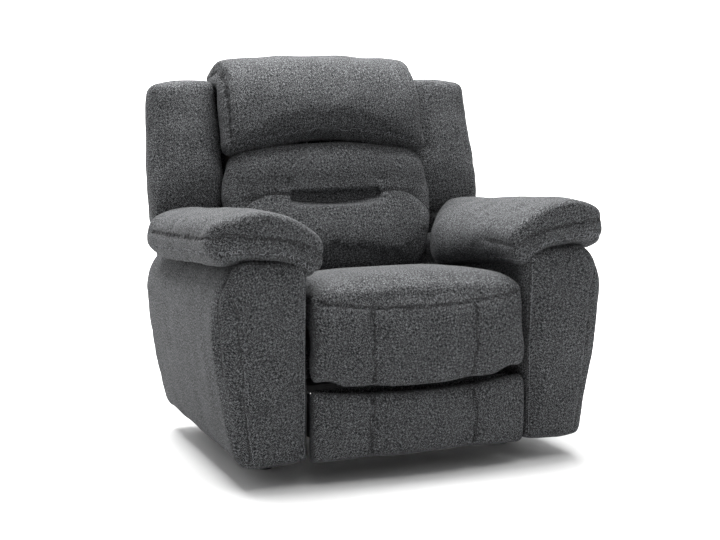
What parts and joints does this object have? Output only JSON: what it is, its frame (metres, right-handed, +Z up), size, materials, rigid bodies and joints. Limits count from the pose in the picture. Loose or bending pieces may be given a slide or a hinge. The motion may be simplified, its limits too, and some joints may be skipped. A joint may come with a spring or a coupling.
{
  "type": "recliner armchair",
  "caption": "Power recliner armchair in charcoal fabric with pillow-top arms, tufted winged back, reclining backrest and fold-out footrest.",
  "frame": {"origin": "on the floor, at the middle of the footprint", "axes": "+X to the sitter's left, -Y to the front, +Z up"},
  "size_m": [1.0502, 0.9402, 1.0124],
  "materials": {
    "upholstery": "woven chenille, soft nap",
    "frame_wood": "unfinished plywood",
    "panel_fabric": "woven chenille",
    "black_steel": "satin black paint",
    "spring_steel": "zinc plated",
    "black_plastic": "matte",
    "button_plastic": "fine matte"
  },
  "bodies": {
    "base": {"arm_cover_left": "upholstery", "arm_cover_right": "upholstery", "arm_frame_left": "frame_wood", "arm_frame_right": "frame_wood", "arm_pad_left": "upholstery", "arm_pad_right": "upholstery", "feet": "black_plastic", "frame_bolts": "spring_steel", "base_rail_left": "black_steel", "base_rail_right": "black_steel", "base_tube_front": "black_steel", "base_tube_rear": "black_steel", "rear_panel": "panel_fabric", "power_inlet": "black_plastic", "control_bezel": "black_plastic"},
    "seat": {"seat_frame": "frame_wood", "seat_springs": "spring_steel", "seat_cushion": "upholstery", "seat_front_panel": "upholstery", "seat_plate_left": "black_steel", "seat_plate_right": "black_steel", "rail_glides": "black_plastic", "seat_bolts": "spring_steel", "footrest_motor": "black_plastic", "back_motor": "black_plastic"},
    "back": {"back_frame": "frame_wood", "back_springs": "spring_steel", "back_board": "panel_fabric", "back_cover": "upholstery", "wing_left": "upholstery", "wing_right": "upholstery", "back_bracket_left": "black_steel", "back_bracket_right": "black_steel", "back_bolts": "spring_steel", "back_crank": "black_steel", "lumbar_cushion": "upholstery", "mid_cushion": "upholstery", "head_pillow": "upholstery"},
    "footrest_drive": {"link_drive_left": "black_steel", "link_drive_right": "black_steel", "footrest_crank": "black_steel"},
    "long_left": {"link_long_left": "black_steel"},
    "cross_left": {"link_cross_left": "black_steel"},
    "outer_left": {"link_outer_left": "black_steel"},
    "tip_left": {"link_tip_left": "black_steel"},
    "footrest": {"footrest_bracket_left": "black_steel", "footrest_bracket_right": "black_steel", "footrest_board": "panel_fabric", "footrest_pad": "upholstery"},
    "long_right": {"link_long_right": "black_steel"},
    "cross_right": {"link_cross_right": "black_steel"},
    "outer_right": {"link_outer_right": "black_steel"},
    "tip_right": {"link_tip_right": "black_steel"},
    "footrest_nut": {"footrest_nut": "black_plastic"},
    "back_nut": {"back_nut": "black_plastic"},
    "button_1": {"button_1": "button_plastic"},
    "button_2": {"button_2": "button_plastic"},
    "button_3": {"button_3": "button_plastic"},
    "button_4": {"button_4": "button_plastic"}
  },
  "joints": [
    {"name": "seat_slide", "type": "slide", "parent": "base", "child": "seat", "axis": [0, -1, 0], "range_m": [0, 0.05]},
    {"name": "back_recline", "type": "hinge", "parent": "seat", "child": "back", "pos_m": [0, 0.175, 0.33], "axis": [-1, 0, 0], "range_deg": [0, 40]},
    {"name": "footrest_fold", "type": "hinge", "parent": "seat", "child": "footrest_drive", "pos_m": [0, -0.25, 0.212], "axis": [-1, 0, 0], "range_deg": [0, 90]},
    {"name": "long_left_pivot", "type": "hinge", "parent": "footrest_drive", "child": "long_left", "pos_m": [0.248, -0.23501, 0.04065], "axis": [1, 0, 0], "range_deg": [0, 136]},
    {"name": "cross_left_pivot", "type": "hinge", "parent": "footrest_drive", "child": "cross_left", "pos_m": [0.248, -0.2425, 0.12633], "axis": [1, 0, 0], "range_deg": [0, 136]},
    {"name": "outer_left_pivot", "type": "hinge", "parent": "long_left", "child": "outer_left", "pos_m": [0.248, -0.27135, 0.1186], "axis": [-1, 0, 0], "range_deg": [0, 136]},
    {"name": "tip_left_pivot", "type": "hinge", "parent": "footrest", "child": "tip_left", "pos_m": [0.248, -0.3002, 0.11087], "axis": [1, 0, 0], "range_deg": [0, 136]},
    {"name": "footrest_tilt", "type": "hinge", "parent": "long_left", "child": "footrest", "pos_m": [0, -0.3077, 0.19654], "axis": [-1, 0, 0], "range_deg": [0, 136]},
    {"name": "long_right_pivot", "type": "hinge", "parent": "footrest_drive", "child": "long_right", "pos_m": [-0.248, -0.23501, 0.04065], "axis": [1, 0, 0], "range_deg": [0, 136]},
    {"name": "cross_right_pivot", "type": "hinge", "parent": "footrest_drive", "child": "cross_right", "pos_m": [-0.248, -0.2425, 0.12633], "axis": [1, 0, 0], "range_deg": [0, 136]},
    {"name": "outer_right_pivot", "type": "hinge", "parent": "long_right", "child": "outer_right", "pos_m": [-0.248, -0.27135, 0.1186], "axis": [-1, 0, 0], "range_deg": [0, 136]},
    {"name": "tip_right_pivot", "type": "hinge", "parent": "footrest", "child": "tip_right", "pos_m": [-0.248, -0.3002, 0.11087], "axis": [1, 0, 0], "range_deg": [0, 136]},
    {"name": "footrest_nut_slide", "type": "slide", "parent": "seat", "child": "footrest_nut", "axis": [0, -1, 0], "range_m": [0, 0.09899]},
    {"name": "back_nut_slide", "type": "slide", "parent": "seat", "child": "back_nut", "axis": [0, -1, 0], "range_m": [0, 0.06156]},
    {"name": "button_1_press", "type": "slide", "parent": "base", "child": "button_1", "axis": [-1, 0, 0], "range_m": [0, 0.002], "stiffness_N_per_m": 150, "springref_m": -0.001},
    {"name": "button_2_press", "type": "slide", "parent": "base", "child": "button_2", "axis": [-1, 0, 0], "range_m": [0, 0.002], "stiffness_N_per_m": 150, "springref_m": -0.001},
    {"name": "button_3_press", "type": "slide", "parent": "base", "child": "button_3", "axis": [-1, 0, 0], "range_m": [0, 0.002], "stiffness_N_per_m": 150, "springref_m": -0.001},
    {"name": "button_4_press", "type": "slide", "parent": "base", "child": "button_4", "axis": [-1, 0, 0], "range_m": [0, 0.002], "stiffness_N_per_m": 150, "springref_m": -0.001}
  ],
  "couplings": [
    {"joint": "seat_slide", "follows": "back_recline", "m_per_rad": 0.07162},
    {"joint": "long_left_pivot", "follows": "footrest_fold", "ratio": 1.5111},
    {"joint": "cross_left_pivot", "follows": "footrest_fold", "ratio": 1.5111},
    {"joint": "outer_left_pivot", "follows": "footrest_fold", "ratio": 1.5111},
    {"joint": "tip_left_pivot", "follows": "footrest_fold", "ratio": 1.5111},
    {"joint": "footrest_tilt", "follows": "footrest_fold", "ratio": 1.5111},
    {"joint": "long_right_pivot", "follows": "footrest_fold", "ratio": 1.5111},
    {"joint": "cross_right_pivot", "follows": "footrest_fold", "ratio": 1.5111},
    {"joint": "outer_right_pivot", "follows": "footrest_fold", "ratio": 1.5111},
    {"joint": "tip_right_pivot", "follows": "footrest_fold", "ratio": 1.5111},
    {"joint": "footrest_nut_slide", "follows": "footrest_fold", "m_per_rad": 0.063022},
    {"joint": "back_nut_slide", "follows": "back_recline", "m_per_rad": 0.088183}
  ]
}
